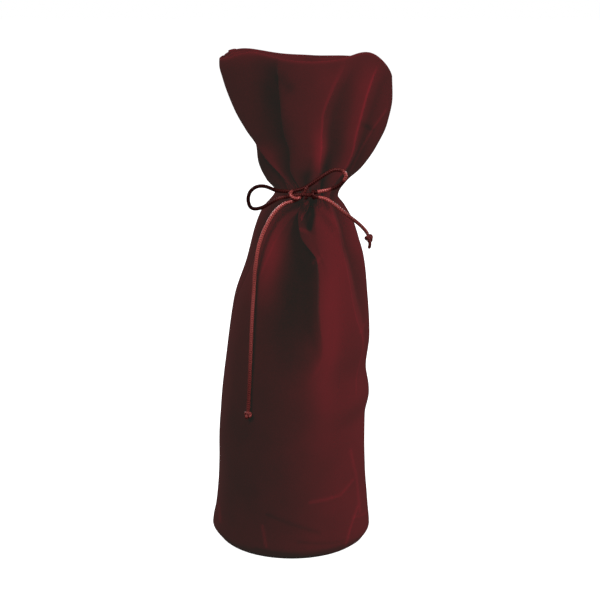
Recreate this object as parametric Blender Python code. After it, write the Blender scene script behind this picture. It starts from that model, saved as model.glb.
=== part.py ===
"""A velvet wine gift bag, tied round the neck with a satin cord.

The bag stands on a round base with its mouth up. The origin is on the ground below the middle of the
whole bag, +Z is up and the bow is at the front, which faces -Y. It leans a little, so its base is left of
the origin and its mouth right of it. Lengths are written in millimetres and turned to metres by MM.
"""

import math

import bmesh
import bpy
import numpy as np
from mathutils import Vector

MM = 0.001

# Driving dimensions, in millimetres.
VELVET_THICKNESS = 1.6
FACING_THICKNESS = 1.2
BOARD_THICKNESS = 1.5
CORD_DIAMETER = 2.8
THREAD_DIAMETER = 0.8
GAP = 0.3
SEAM_GAP = 0.4

BASE_HEIGHT = 0.0
WALL_FOOT = BASE_HEIGHT + VELVET_THICKNESS + GAP
RIM_HEIGHT = 377.0
TIE_HEIGHT = 277.0
TIE_SLOPE = 3.0
CHANNEL_HALF = 7.0
FACING_FOOT = 261.0

# The side outlines and half the depth, each as (height, size) in millimetres.
LEFT_EDGE = (
    (0, -64.5), (9, -69.6), (25, -67.0), (60, -64.5), (110, -62.3), (150, -57.5), (195, -50.5),
    (224, -41.6), (250, -34.5), (264, -29.0), (278, -20.0), (287, -26.5), (300, -32.5), (316, -38.0),
    (340, -50.0), (370, -60.5), (384, -61.5),
)
RIGHT_EDGE = (
    (0, 51.5), (9, 56.0), (25, 54.5), (60, 52.4), (150, 52.5), (180, 54.2), (205, 52.0), (228, 48.5),
    (250, 42.5), (265, 35.5), (274, 29.8), (283, 34.5), (297, 46.5), (316, 59.0), (335, 66.5), (357, 69.6),
    (384, 69.4),
)
HALF_DEPTH = (
    (0, 58.0), (9, 62.7), (25, 61.0), (60, 59.3), (110, 58.0), (150, 56.5), (195, 51.0), (224, 44.0),
    (250, 35.5), (277, 26.5), (300, 29.5), (316, 30.0), (340, 28.0), (370, 26.0), (384, 25.5),
)

# Heights of the wall's cross-sections: close together at the base's roll and at the gathered neck.
SECTION_HEIGHTS = (
    WALL_FOOT, 5, 9, 15, 25, 45, 75, 110, 145, 175, 198, 217, 234, 248, 260, 268, 274, 280, 288, 298, 310,
    324, 338, 351, 362, 371, RIM_HEIGHT,
)
WALL_COLUMNS = 20

# The bow knot, and where the six ends of cord meet it.
KNOT_CENTRE = (2.0, -33.3, 281.0)
KNOT_HALF_SIZE = (9.5, 4.0, 4.4)
SLIT_OFFSETS = (-3.2, 7.2)
SLIT_HALF_WIDTH = 3.4
SLIT_HALF_HEIGHT = 2.0
CORD_RING = (math.radians(-50), math.radians(230))
CORD_WAY_IN = ((7.0, -28.7), (7.2, -26.2), (8.3, -23.6), (10.6, -21.9))
CORD_WAY_OUT = ((-4.6, -20.3), (-3.6, -23.0), (-3.1, -26.2), (-3.0, -28.7))
END_KNOT_HALF_SIZE = (3.0, 3.0, 3.5)

# Routes of the free cord, from the knot outwards, in millimetres.
LEFT_LOOP_ROUTE = (
    (-8.6, -33.6, 283.3), (-13.0, -33.9, 283.6), (-18.2, -34.5, 284.4), (-25.6, -35.2, 287.3),
    (-31.8, -35.8, 287.2), (-36.6, -36.2, 283.6), (-38.2, -36.6, 277.8), (-36.8, -37.0, 272.6),
    (-33.4, -37.1, 270.9), (-28.0, -36.9, 271.9), (-22.4, -36.2, 274.9), (-15.2, -34.9, 278.4),
    (-8.6, -33.9, 279.5),
)
RIGHT_LOOP_ROUTE = (
    (4.9, -34.3, 286.9), (8.6, -34.9, 289.3), (14.7, -35.8, 293.8), (19.6, -36.5, 297.2),
    (25.2, -37.0, 299.9), (30.6, -37.2, 299.4), (33.7, -37.2, 295.9), (31.9, -36.6, 291.2),
    (27.8, -35.8, 287.6), (22.0, -34.9, 285.1), (16.8, -34.3, 283.8), (13.2, -33.9, 283.1),
)
LEFT_TAIL_ROUTE = (
    (-5.8, -36.3, 276.4), (-11.4, -35.7, 274.4), (-16.2, -35.9, 270.8), (-20.6, -36.2, 265.6),
    (-24.5, -36.5, 258.8), (-28.1, -36.7, 250.6), (-30.8, -36.8, 242.0), (-32.4, -36.9, 233.0),
    (-33.8, -37.2, 221.6), (-34.6, -38.4, 208.0), (-35.6, -41.1, 193.6), (-36.5, -44.4, 175.6),
    (-37.4, -47.6, 154.6), (-38.2, -49.3, 136.0), (-39.1, -50.2, 119.2),
)
LEFT_KNOT_CENTRE = (-39.4, -50.7, 115.0)
RIGHT_TAIL_ROUTE = (
    (13.0, -34.6, 279.2), (18.6, -34.9, 278.0), (23.6, -35.6, 275.2), (29.6, -36.6, 270.6),
    (36.4, -37.8, 265.4), (42.2, -38.9, 261.0), (46.8, -39.8, 256.9), (49.6, -40.3, 253.4),
)
RIGHT_KNOT_CENTRE = (51.1, -40.7, 249.4)

VELVET = ("burgundy_velvet", (0.075, 0.006, 0.010), 0.85, 0.0)
FACING_VELVET = ("burgundy_facing", (0.085, 0.007, 0.012), 0.80, 0.0)
SATIN = ("burgundy_satin_cord", (0.30, 0.025, 0.030), 0.35, 0.0)
THREAD = ("burgundy_thread", (0.12, 0.010, 0.015), 0.60, 0.0)
BOARD = ("grey_board", (0.42, 0.38, 0.33), 0.90, 0.0)


def clear_scene():
    for obj in list(bpy.data.objects):
        bpy.data.objects.remove(obj)


def new_collection(name):
    collection = bpy.data.collections.new(name)
    bpy.context.scene.collection.children.link(collection)
    return collection


def material(finish):
    name, colour, roughness, metallic = finish
    made = bpy.data.materials.get(name)
    if made:
        return made
    made = bpy.data.materials.new(name)
    made.use_nodes = True
    surface = made.node_tree.nodes["Principled BSDF"]
    surface.inputs["Base Color"].default_value = (*colour, 1.0)
    surface.inputs["Roughness"].default_value = roughness
    surface.inputs["Metallic"].default_value = metallic
    return made


def add_object(name, data, collection, finish=None):
    obj = bpy.data.objects.new(name, data)
    collection.objects.link(obj)
    if finish:
        obj.data.materials.append(material(finish))
    return obj


def outline_at(outline, height):
    """The outline's size at a height, along a smooth curve that never overshoots its points."""
    heights, sizes = np.array(outline, float).T
    steps = np.diff(heights)
    slopes = np.diff(sizes) / steps
    tangents = np.zeros(len(heights))
    same_way = slopes[:-1] * slopes[1:] > 0
    tangents[1:-1][same_way] = 2 / (1 / slopes[:-1][same_way] + 1 / slopes[1:][same_way])
    tangents[0], tangents[-1] = slopes[0], slopes[-1]
    i = int(np.clip(np.searchsorted(heights, height) - 1, 0, len(steps) - 1))
    t = float(np.clip((height - heights[i]) / steps[i], 0, 1))
    start = (2 * t**3 - 3 * t**2 + 1) * sizes[i] + (t**3 - 2 * t**2 + t) * steps[i] * tangents[i]
    end = (3 * t**2 - 2 * t**3) * sizes[i + 1] + (t**3 - t**2) * steps[i] * tangents[i + 1]
    return start + end


def wall_point(angle, height, inset=0.0):
    """A point of the wall's oval section, taken in by inset. Angle 0 is at the right, -90 degrees in front."""
    left, right = outline_at(LEFT_EDGE, height), outline_at(RIGHT_EDGE, height)
    half_depth = outline_at(HALF_DEPTH, height)
    x = (left + right) / 2 + ((right - left) / 2 - inset) * math.cos(angle)
    y = (half_depth - inset) * math.sin(angle)
    return Vector((x, y, height))


def rim_height(angle):
    """The mouth's edge: higher at the back, with a peak at the back left, and low at the right side."""
    right_dip = -9.0 * ((1 + math.cos(angle)) / 2) ** 6
    back_rise = 1.5 * math.sin(angle)
    left_peak = 4.5 * max(0.0, math.cos(angle - math.radians(135))) ** 6
    return RIM_HEIGHT + right_dip + back_rise + left_peak


def height_on_wall(angle, height):
    """Heights over the neck stretch or shrink so that the last one follows the rim."""
    share = max(0.0, (height - TIE_HEIGHT) / (RIM_HEIGHT - TIE_HEIGHT))
    return height + (rim_height(angle) - RIM_HEIGHT) * share**2


def tie_height(angle):
    """The tie slopes: it is high at the front and left, and low at the back and right."""
    return TIE_HEIGHT - TIE_SLOPE * (math.cos(angle) + math.sin(angle))


def facing_inset(height):
    """The facing lies against the wall, but stands off it where the cord's channel is."""
    close = VELVET_THICKNESS + 0.8
    open_channel = VELVET_THICKNESS + CORD_DIAMETER + 1.6
    away = np.clip((abs(height - TIE_HEIGHT) - CHANNEL_HALF) / CHANNEL_HALF, 0, 1)
    return open_channel + (close - open_channel) * away * away * (3 - 2 * away)


def fabric_mesh(outer_rows, inner_rows):
    """A closed solid between two surfaces, given as rows of points of the same length."""
    rings = [[*outer, *reversed(inner)] for outer, inner in zip(outer_rows, inner_rows)]
    around = len(rings[0])
    wide = around // 2
    faces = []
    for r in range(len(rings) - 1):
        for i in range(around):
            below, below_next = r * around + i, r * around + (i + 1) % around
            faces.append((below, below_next, below_next + around, below + around))
    top = (len(rings) - 1) * around
    for i in range(wide - 1):
        back = around - 1 - i
        faces.append((i, back, back - 1, i + 1))
        faces.append((top + i, top + i + 1, top + back - 1, top + back))
    mesh = bpy.data.meshes.new("fabric")
    mesh.from_pydata([p * MM for ring in rings for p in ring], [], faces)
    mesh.shade_smooth()
    return mesh


def fabric_shell(name, first, heights, inset_at, thickness, finish, collection):
    """A sheet of fabric half way round the bag from its first angle, with its thickness inwards."""
    outer_rows = []
    inner_rows = []
    for height in heights:
        inset = inset_at(height)
        edge = math.asin(SEAM_GAP / 2 / (outline_at(HALF_DEPTH, height) - inset - thickness))
        angles = np.linspace(first + edge, first + math.pi - edge, WALL_COLUMNS + 1)
        outer_rows.append([wall_point(a, height_on_wall(a, height), inset) for a in angles])
        inner_rows.append([wall_point(a, height_on_wall(a, height), inset + thickness) for a in angles])
    return add_object(name, fabric_mesh(outer_rows, inner_rows), collection, finish)


def oval_prism(half_width, half_depth, thickness, sides):
    """An oval plate round the Z axis, half of its thickness above the origin and half below."""
    mesh = bpy.data.meshes.new("oval")
    shape = bmesh.new()
    bmesh.ops.create_cone(shape, cap_ends=True, segments=sides, radius1=1, radius2=1, depth=1)
    bmesh.ops.scale(shape, vec=Vector((half_width, half_depth, thickness)) * MM, verts=shape.verts)
    shape.to_mesh(mesh)
    shape.free()
    return mesh


def disc(name, height, inset, thickness, collection, finish):
    """A flat disc that follows the base's outline at a height, taken in by inset."""
    left, right = outline_at(LEFT_EDGE, height), outline_at(RIGHT_EDGE, height)
    half_depth = outline_at(HALF_DEPTH, height) - inset
    half_width = (right - left) / 2 - inset
    made = add_object(name, oval_prism(half_width, half_depth, thickness, 48), collection, finish)
    made.location = Vector(((left + right) / 2, 0, height + thickness / 2)) * MM
    return made


def smooth_route(points, spacing):
    """Points about a spacing apart on one smooth curve through the route's own points."""
    route = [Vector(p) for p in points]
    route = [2 * route[0] - route[1], *route, 2 * route[-1] - route[-2]]
    line = []
    for before, start, end, after in zip(route, route[1:], route[2:], route[3:]):
        count = max(1, round((end - start).length / spacing))
        for i in range(count):
            t = i / count
            line.append(
                0.5
                * (
                    2 * start
                    + (end - before) * t
                    + (2 * before - 5 * start + 4 * end - after) * t**2
                    + (3 * start - before - 3 * end + after) * t**3
                )
            )
    return [*line, route[-2]]


def tube(name, points, diameter, collection, finish, closed=False, sides=2):
    """A round tube along points in millimetres: a cord with filled ends, or a closed ring."""
    curve = bpy.data.curves.new(name, "CURVE")
    curve.dimensions = "3D"
    curve.bevel_depth = diameter / 2 * MM
    curve.bevel_resolution = sides
    curve.use_fill_caps = not closed
    spline = curve.splines.new("POLY")
    spline.points.add(len(points) - 1)
    for point, place in zip(spline.points, points):
        point.co = (*(Vector(place) * MM), 1.0)
    spline.use_cyclic_u = closed
    return add_object(name, curve, collection, finish)


def free_cord(name, route, collection):
    return tube(name, smooth_route(route, 2.2 * CORD_DIAMETER), CORD_DIAMETER, collection, SATIN)


def knot(name, centre, half_size, collection):
    """A tied knot as one rounded solid."""
    mesh = bpy.data.meshes.new(name)
    shape = bmesh.new()
    bmesh.ops.create_uvsphere(shape, u_segments=16, v_segments=10, radius=MM)
    bmesh.ops.scale(shape, vec=half_size, verts=shape.verts)
    shape.to_mesh(mesh)
    shape.free()
    mesh.shade_smooth()
    made = add_object(name, mesh, collection, SATIN)
    made.location = Vector(centre) * MM
    return made


def cut_cord_slit(panel, offset, cutters):
    """One of the two slits in the front through which the cord leaves its channel."""
    height = tie_height(-math.pi / 2)
    mesh = oval_prism(SLIT_HALF_WIDTH, SLIT_HALF_HEIGHT, 20, 16)
    cutter = add_object(f"slit_cutter_{len(cutters.objects)}", mesh, cutters)
    cutter.location = Vector((offset, wall_point(-math.pi / 2, height).y, height)) * MM
    cutter.rotation_euler = (math.radians(90), 0, 0)
    cutter.hide_render = True
    cutter.display_type = "WIRE"
    cut = panel.modifiers.new("slit", "BOOLEAN")
    cut.operation = "DIFFERENCE"
    cut.object = cutter


def make_panels(bag, cutters):
    """The two velvet panels of the wall, sewn to each other at the sides and to the base."""

    def outside(height):
        return 0.0

    front = fabric_shell("front_panel", -math.pi, SECTION_HEIGHTS, outside, VELVET_THICKNESS, VELVET, bag)
    fabric_shell("back_panel", 0.0, SECTION_HEIGHTS, outside, VELVET_THICKNESS, VELVET, bag)
    for offset in SLIT_OFFSETS:
        cut_cord_slit(front, offset, cutters)


def make_facings(bag):
    """The inner layer of the ruffle, from the rim down to below the cord's channel."""
    heights = (FACING_FOOT, *(h for h in SECTION_HEIGHTS if h > FACING_FOOT + 2))
    for name, first in (("front_facing", -math.pi), ("back_facing", 0.0)):
        fabric_shell(name, first, heights, facing_inset, FACING_THICKNESS, FACING_VELVET, bag)


def make_base(bag):
    """The velvet base, and the stiff board that lies on it and keeps it flat."""
    disc("base_panel", BASE_HEIGHT, 0.0, VELVET_THICKNESS, bag, VELVET)
    disc("base_board", WALL_FOOT, VELVET_THICKNESS + 2.2, BOARD_THICKNESS, bag, BOARD)


def make_threads(bag):
    """The sewing threads: one down each side seam, one round the base, and two that close the channel."""
    inside = VELVET_THICKNESS + GAP + THREAD_DIAMETER / 2 + 0.1
    outside = -(GAP + THREAD_DIAMETER / 2 + 0.3)
    for name, angle in (("left_seam_thread", math.pi), ("right_seam_thread", 0.0)):
        points = [wall_point(angle, h, inside) for h in np.linspace(10, FACING_FOOT - 3, 24)]
        tube(name, points, THREAD_DIAMETER, bag, THREAD, sides=0)
    turn = [2 * math.pi * i / 2 / WALL_COLUMNS for i in range(2 * WALL_COLUMNS)]
    base = [wall_point(a, WALL_FOOT + 4.6, inside + 0.3) for a in turn]
    tube("base_seam_thread", base, THREAD_DIAMETER, bag, THREAD, closed=True, sides=0)
    for name, side in (("upper_channel_thread", 1), ("lower_channel_thread", -1)):
        ring = [wall_point(a, tie_height(a) + side * CHANNEL_HALF, outside) for a in turn]
        tube(name, ring, THREAD_DIAMETER, bag, THREAD, closed=True, sides=0)


def make_neck_cord(bag):
    """The cord in the channel: in at one slit, round the back of the neck, and out at the other."""
    depth_in = VELVET_THICKNESS + GAP + 0.2 + CORD_DIAMETER / 2
    ring = [wall_point(a, tie_height(a), depth_in) for a in np.linspace(*CORD_RING, 44)]
    height = tie_height(-math.pi / 2)
    way_in = [(x, y, height) for x, y in CORD_WAY_IN]
    way_out = [(x, y, height) for x, y in CORD_WAY_OUT]
    tube("neck_cord", [*way_in, *ring, *way_out], CORD_DIAMETER, bag, SATIN)


def make_bow(bag):
    """The bow: its knot, two loops, and two tails that each end in a small knot."""
    knot("bow_knot", KNOT_CENTRE, KNOT_HALF_SIZE, bag)
    free_cord("left_loop", LEFT_LOOP_ROUTE, bag)
    free_cord("right_loop", RIGHT_LOOP_ROUTE, bag)
    free_cord("left_tail", LEFT_TAIL_ROUTE, bag)
    free_cord("right_tail", RIGHT_TAIL_ROUTE, bag)
    knot("left_end_knot", LEFT_KNOT_CENTRE, END_KNOT_HALF_SIZE, bag)
    knot("right_end_knot", RIGHT_KNOT_CENTRE, END_KNOT_HALF_SIZE, bag)


def main():
    clear_scene()
    bag = new_collection("wine_gift_bag")
    cutters = new_collection("cutters")
    make_panels(bag, cutters)
    make_facings(bag)
    make_base(bag)
    make_threads(bag)
    make_neck_cord(bag)
    make_bow(bag)


main()
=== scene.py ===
"""A velvet wine gift bag with a satin cord bow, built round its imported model.

Lengths in the tables are millimetres, with +Z up, -Y to the front and +X to the right. A turn round the bag
is an angle in degrees from its left edge, over the front at 90, its right edge at 180 and its back at 270.
"""

import math

import bpy
import numpy as np
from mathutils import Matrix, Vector


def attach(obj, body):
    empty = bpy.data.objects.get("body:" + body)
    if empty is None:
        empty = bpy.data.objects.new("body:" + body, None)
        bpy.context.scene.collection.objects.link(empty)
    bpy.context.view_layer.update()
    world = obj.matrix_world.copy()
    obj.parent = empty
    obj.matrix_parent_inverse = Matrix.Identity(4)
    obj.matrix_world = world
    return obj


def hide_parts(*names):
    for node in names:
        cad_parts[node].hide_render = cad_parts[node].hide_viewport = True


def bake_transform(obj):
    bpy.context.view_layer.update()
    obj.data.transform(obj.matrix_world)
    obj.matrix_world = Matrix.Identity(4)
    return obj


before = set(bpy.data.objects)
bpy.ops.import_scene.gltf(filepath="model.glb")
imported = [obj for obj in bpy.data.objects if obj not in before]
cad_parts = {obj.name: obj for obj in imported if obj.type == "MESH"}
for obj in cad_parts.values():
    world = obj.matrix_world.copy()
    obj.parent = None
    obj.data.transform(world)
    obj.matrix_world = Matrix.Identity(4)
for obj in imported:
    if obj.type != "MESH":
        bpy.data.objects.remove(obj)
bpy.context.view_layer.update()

bl_info = {
    "name": "Velvet wine gift bag",
    "version": (1, 0, 0),
    "blender": (4, 5, 0),
    "location": "3D View > Sidebar > Gift bag",
    "description": "Builds a gathered velvet bottle bag, its satin cord bow and its stitching",
    "category": "Add Mesh",
}

MM = 0.001
TIE = 277.0
RIM = 377.0
FACING_FOOT = 261.0
FLAT_ROUND = 390.0
CHANNEL_HALF = 7.0
CHANNEL_STITCH_DEPTH = 0.27
SEAM_GAP = 0.03
FACING_GAP = 0.3
SEAM_GROOVE_DEPTH = 0.9
SEAM_GROOVE_HALF = 1.3
PANEL_COLUMNS = 190
FACING_COLUMNS = 150
CREASE_HEIGHT = 0.6
CORD_SIDES = 16
DISC_SIDES = 120

# The outlines of the bag's two sides and half its depth, as (height, size).
LEFT_EDGE = (
    (0, -64.5), (9, -69.6), (25, -67), (60, -64.5), (110, -62.3), (150, -57.5), (195, -51), (224, -41.6),
    (250, -34.5), (264, -29), (278, -19.5), (287, -26.5), (300, -32.5), (311, -34.5), (324, -42),
    (340, -50.5), (362, -58.5), (373, -61), (384, -60.5),
)
RIGHT_EDGE = (
    (0, 51.5), (9, 56), (25, 54.5), (55, 52), (100, 51.5), (118, 54.4), (140, 51.8), (165, 54.2), (205, 52),
    (228, 49.5), (250, 43.3), (265, 36), (275, 29.8), (287, 37), (297, 46.8), (316, 59), (335, 66.5),
    (357, 69.6), (384, 69),
)
HALF_DEPTH = (
    (0, 58), (4, 61), (9, 62.7), (16, 62), (25, 61), (60, 59.3), (110, 58), (150, 56.5), (195, 51),
    (224, 44), (250, 35.5), (277, 26.5), (300, 29.5), (316, 30), (340, 28), (370, 26), (384, 25.5),
)
# How the mouth's edge rises and dips round the bag, as (turn, half width in degrees, height over the rim).
MOUTH_WAVES = ((52, 20, 6.2), (133, 18, 6.5), (182, 24, -13.5), (318, 28, 6))

# The lines of the folds: where each is cut on the flat cloth, as a share of the way round, how softly it
# turns above and below the tie, and its (height, turn, stand-off) from the mouth down.
FOLDS = (
    ("left_back", -0.050, 0.012, 0.012,
     ((377, -40, 2), (320, -8, 0), (300, 18, 0), (285, 30, 0), (275, 30, 0), (264, 14, 0), (223, 2, 0),
      (150, -10, 0), (100, -18, 0))),
    ("recess", -0.012, 0.006, 0.006,
     ((377, -20, -2), (345, -15, -5), (320, -1, -8), (303, 28, -9), (282, 54, -6), (266, 38, -4),
      (243, 25, -3), (190, 8, 0), (150, -3, 0))),
    ("left_lobe", 0.030, 0.008, 0.008,
     ((377, 8, 0), (332, 8, 1), (319, 14, 1), (305, 37, 4), (284, 66, 3), (277, 66, 2), (261, 45, 2),
      (222, 36, 1), (190, 26, 0), (150, 15, 0))),
    ("plane_edge", 0.085, 0.040, 0.004,
     ((377, 52, 2), (357, 55, 0), (327, 47, 0), (305, 48, 1.5), (284, 70, 2), (272, 84, 2), (259, 69, 4),
      (246, 58, 4), (221, 45, 2), (190, 33, 0), (150, 30, 0))),
    ("first_valley", 0.150, 0.008, 0.008,
     ((377, 74, -1), (362, 74, -7), (342, 73, -12), (320, 69, -14), (300, 69, -12), (277, 80, -8),
      (266, 86, -10), (251, 90, -13), (232, 105, -13), (190, 107, -9), (160, 105, -4), (130, 95, 0))),
    ("first_edge", 0.175, 0.0045, 0.0045,
     ((377, 74, 0), (353, 71, 0), (320, 65, 2), (300, 65, 2), (277, 82, 0), (266, 80, 2), (251, 83, 2),
      (232, 100, 2.5), (190, 105, 2), (160, 109, 0.5), (130, 100, 0))),
    ("notch", 0.215, 0.006, 0.006,
     ((377, 86, 1.5), (310, 84, 1), (299, 90, -1), (290, 92, -5), (272, 98, -8), (260, 95, -8), (248, 96, 1),
      (232, 104, 2), (204, 110, 2.5), (160, 112, 0.5), (130, 105, 0))),
    ("lobe_edge", 0.245, 0.005, 0.005,
     ((377, 96, 2), (340, 92, 2.5), (310, 90, 3), (290, 98, 1.5), (272, 107, 1), (260, 101, 3), (240, 103, 3),
      (219, 112, 3), (174, 117, 1), (130, 110, 0))),
    ("right_crease", 0.290, 0.004, 0.020,
     ((377, 118, 1), (358, 108, 3.5), (335, 98, 4), (310, 96, 4), (290, 102, 2.5), (271, 115, 2),
      (240, 112, 3), (174, 121, 2), (130, 118, 0))),
    ("second_valley", 0.335, 0.010, 0.010,
     ((377, 126, 0), (350, 115, -5), (321, 107, -9), (300, 107, -10), (283, 114, -7), (271, 124, -1),
      (240, 121, 3), (211, 126, 3), (150, 130, 1), (120, 126, 0))),
    ("far_crease", 0.385, 0.004, 0.004,
     ((377, 150, 0), (363, 140, 2), (345, 131, 4), (320, 126, 4), (300, 128, 3.5), (277, 128, 1),
      (242, 126, 3.5), (209, 133, 3), (188, 139, 2.5), (163, 151, 1.5), (120, 145, 0))),
    ("third_valley", 0.430, 0.010, 0.010,
     ((377, 163, 0), (352, 149, -3), (323, 141, -5), (295, 143, -6), (277, 147, -5), (245, 141, -6),
      (210, 149, -5), (170, 158, -1), (140, 158, 0))),
    ("right_edge", 0.470, 0.010, 0.010,
     ((377, 176, 0), (347, 168, 1), (300, 166, 1), (277, 166, 0), (246, 158, 1), (200, 170, 0),
      (150, 170, 0))),
    ("right_back", 0.520, 0.012, 0.012,
     ((377, 195, -1), (340, 192, -3), (300, 188, -3), (277, 186, -4), (250, 186, -3), (210, 186, -1),
      (160, 187, 0))),
    ("back_a", 0.570, 0.010, 0.010,
     ((377, 212, 2), (340, 210, 3), (300, 206, 3), (277, 205, 1), (250, 205, 3), (215, 206, 1.5),
      (165, 205, 0))),
    ("back_b", 0.615, 0.010, 0.010,
     ((377, 228, -2), (340, 226, -6), (300, 222, -8), (277, 221, -7), (250, 221, -8), (215, 222, -5),
      (165, 221, 0))),
    ("back_c", 0.665, 0.009, 0.009,
     ((377, 246, 2), (340, 243, 4), (300, 239, 4), (277, 237, 1), (250, 238, 3), (215, 239, 2),
      (165, 239, 0))),
    ("back_d", 0.710, 0.009, 0.009,
     ((377, 262, -3), (340, 259, -8), (300, 255, -10), (277, 252, -8), (250, 253, -9), (215, 255, -8),
      (180, 256, -4), (150, 256, 0))),
    ("back_e", 0.755, 0.009, 0.009,
     ((377, 272, 2), (340, 271, 4), (300, 268, 4), (277, 266, 1), (250, 267, 3), (215, 270, 2),
      (165, 272, 0))),
    ("back_f", 0.800, 0.009, 0.009,
     ((377, 289, -2), (340, 287, -6), (300, 284, -8), (277, 282, -7), (250, 283, -7), (215, 286, -4),
      (165, 288, 0))),
    ("back_g", 0.850, 0.010, 0.010,
     ((377, 308, 2), (340, 305, 4), (300, 300, 4), (277, 297, 1), (250, 299, 3), (215, 304, 2),
      (165, 306, 0))),
    ("back_h", 0.900, 0.009, 0.009,
     ((377, 325, -2), (340, 322, -6), (300, 320, -7), (277, 316, -6), (250, 320, -5), (215, 323, -2),
      (165, 324, 0))),
    ("back_i", 0.925, 0.009, 0.009,
     ((377, 335, 1), (300, 335, 1), (277, 336, 0), (250, 336, 1), (215, 334, 0), (150, 333, 0))),
)

# The tone of the pile: on the flat, in the turned-in and base cloth, and the tone that shows the full colour.
# Then the depth in mm at which painted shade takes a fold's tone down to 37%, the painted light that a mm of
# ridge adds, and the painted highlight along the rim with its half width.
PLAIN_TONE = 0.5
TURNED_IN_NAP = 0.4
MOST_TONE = 1.8
PAINTED_SHADE_DEPTH = 6.0
RIDGE_PAINTED_LIGHT = 0.06
RIM_PAINTED_HIGHLIGHT = 0.3
RIM_PAINTED_HIGHLIGHT_HALF = 1.2
# Broad patches of painted light and shade on the velvet, as (turn, height), half sizes and change of tone.
PAINTED_LIGHT_AND_SHADE = (
    ((50, 90), (45, 110), -0.25), ((150, 90), (35, 130), 0.65), ((113, 165), (11, 60), 0.5),
    ((82, 225), (16, 60), -0.3), ((54, 235), (11, 32), 0.5), ((97, 312), (9, 16), 0.65),
    ((140, 335), (40, 45), 0.25), ((150, 240), (40, 50), 0.3), ((85, 352), (22, 36), -0.1),
    ((64, 325), (10, 38), -0.25), ((12, 298), (24, 13), -0.35), ((58, 205), (12, 10), 0.15),
)
# The painted highlight along a sharp fold: (shift and width in mm), then (height, amount) down it.
PAINTED_FOLD_HIGHLIGHTS = {
    "left_lobe": ((0, 0.9), (318, 0), (300, 0.3), (277, 0)),
    "plane_edge": ((0, 0.8), (270, 0), (225, 0.3), (195, 0)),
    "right_crease": ((-0.8, 1.2), (376, 0.1), (350, 0.5), (320, 0.5), (290, 0)),
    "far_crease": ((-0.4, 0.9), (372, 0), (360, 0.6), (295, 0.4), (275, 0.1), (255, 0.4), (140, 0.4),
                   (115, 0)),
}
# Small creases and dents of the front: how far out or in, with as much painted highlight or painted shade,
# half the width, then places (x, z) along it.
CREASES = (
    (-0.2, 5, (-13, 365), (-8, 359)), (0.4, 0.8, (64, 340), (55, 328), (46, 313), (38, 295)),
    (-0.3, 1.6, (45, 332), (54, 326)), (0.3, 0.9, (10, 229), (16, 236)),
    (-0.5, 1.8, (8, 273), (10, 265), (7, 255)), (0.3, 1.2, (0, 255), (6, 253)),
    (0.3, 0.9, (45, 174), (51, 178)), (0.4, 1.1, (39, 81), (44, 56), (47, 27)),
    (0.4, 1.3, (8, 47), (31, 48), (41, 56)), (0.5, 1.1, (45, 32), (39, 18), (35, 5)),
    (0.3, 1, (41, 26), (52, 22)), (0.4, 1, (-29, 27), (-26, 11)), (-0.15, 1.6, (-25, 37), (0, 28), (15, 22)),
    (-0.15, 1.4, (-34, 8), (-2, 5)), (-0.15, 1.4, (-1, 16), (19, 13), (36, 10)),
    (0.3, 1.2, (-64, 28), (-63, 18)),
)

# Routes of the free cord, from the knot outwards.
LEFT_LOOP_ROUTE = (
    (-8.6, -33.6, 283.3), (-13.0, -33.9, 283.6), (-18.2, -34.5, 284.4), (-25.6, -35.2, 287.3),
    (-31.8, -35.8, 287.2), (-36.6, -36.2, 283.6), (-38.2, -36.6, 277.8), (-36.8, -37.0, 272.6),
    (-33.4, -37.1, 270.9), (-28.0, -36.9, 271.9), (-22.4, -36.2, 274.9), (-15.2, -34.9, 278.4),
    (-8.6, -33.9, 279.5),
)
RIGHT_LOOP_ROUTE = (
    (4.9, -34.3, 286.9), (8.6, -34.9, 289.3), (14.7, -35.8, 293.8), (19.6, -36.5, 297.2),
    (25.2, -37.0, 299.9), (30.6, -37.2, 299.4), (33.7, -37.2, 295.9), (31.9, -36.6, 291.2),
    (27.8, -35.8, 287.6), (22.0, -34.9, 285.1), (16.8, -34.3, 283.8), (13.2, -33.9, 283.1),
)
LEFT_TAIL_ROUTE = (
    (-5.8, -36.3, 276.4), (-11.4, -35.7, 274.4), (-16.2, -35.9, 270.8), (-20.6, -36.2, 265.6),
    (-24.5, -36.5, 258.8), (-28.1, -36.7, 250.6), (-30.8, -36.8, 242.0), (-32.4, -36.9, 233.0),
    (-33.8, -37.2, 221.6), (-34.6, -38.4, 208.0), (-35.6, -41.1, 193.6), (-36.5, -44.4, 175.6),
    (-37.4, -47.6, 154.6), (-38.2, -49.3, 136.0), (-39.1, -50.2, 119.2),
)
LEFT_KNOT_CENTRE = (-39.4, -50.7, 115.0)
RIGHT_TAIL_ROUTE = (
    (13.0, -34.6, 279.2), (18.6, -34.9, 278.0), (23.6, -35.6, 275.2), (29.6, -36.6, 270.6),
    (36.4, -37.8, 265.4), (42.2, -38.9, 261.0), (46.8, -39.8, 256.9), (49.6, -40.3, 253.4),
)
RIGHT_KNOT_CENTRE = (51.1, -40.7, 249.4)
# Each end knot's own cord takes over where its tail ends. The right one's cut end shows under the knot.
LEFT_STUB_ROUTE = ((-38.9, -50.0, 121.5), (-39.2, -50.4, 118.5), (-39.4, -50.7, 115.5))
RIGHT_STUB_ROUTE = (
    (48.8, -40.2, 254.5), (50.3, -41.0, 251.8), (51.3, -41.8, 248.0), (51.7, -41.2, 244.6),
    (51.2, -40.6, 242.4),
)
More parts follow.
